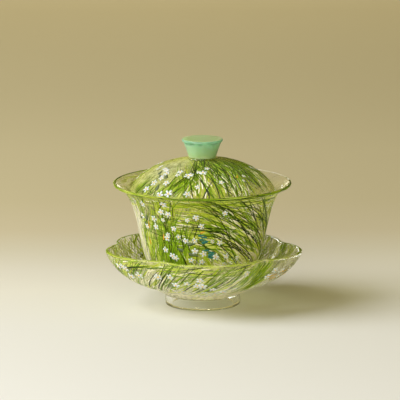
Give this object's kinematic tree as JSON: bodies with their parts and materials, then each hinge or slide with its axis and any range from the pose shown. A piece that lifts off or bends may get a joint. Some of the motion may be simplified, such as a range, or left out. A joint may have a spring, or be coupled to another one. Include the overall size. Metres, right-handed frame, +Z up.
{
  "type": "gaiwan",
  "caption": "Lidded glass tea bowl with a flared lip, standing on a petal-edged saucer, with a domed lid and a jade-green knob, for brewing and serving tea.",
  "frame": {"origin": "centre of the underside of the saucer's foot ring, on the table", "axes": "+Z up along the shared axis of saucer, bowl and lid; -Y faces the viewer of the painted front, +X to that viewer's right"},
  "size_m": [0.1102, 0.1095, 0.0947],
  "materials": {
    "clear_glass": "clear borosilicate glass, fire-polished edges, painted on its outside with enamel",
    "jade_glass": "milky jade-green cast glass, polished"
  },
  "bodies": {
    "saucer": {"saucer_dish": "clear_glass", "saucer_foot_ring": "clear_glass"},
    "bowl": {"bowl_body": "clear_glass", "bowl_foot_ring": "clear_glass"},
    "lid": {"lid_dome": "clear_glass", "knob_collar": "clear_glass", "lid_knob": "jade_glass"}
  },
  "joints": [
    {"name": "bowl_lift", "type": "slide", "parent": "saucer", "child": "bowl", "axis": [0, 0, 1], "range_m": [0, 0.05]},
    {"name": "lid_lift", "type": "slide", "parent": "bowl", "child": "lid", "axis": [0, 0, 1], "range_m": [0, 0.06]}
  ]
}
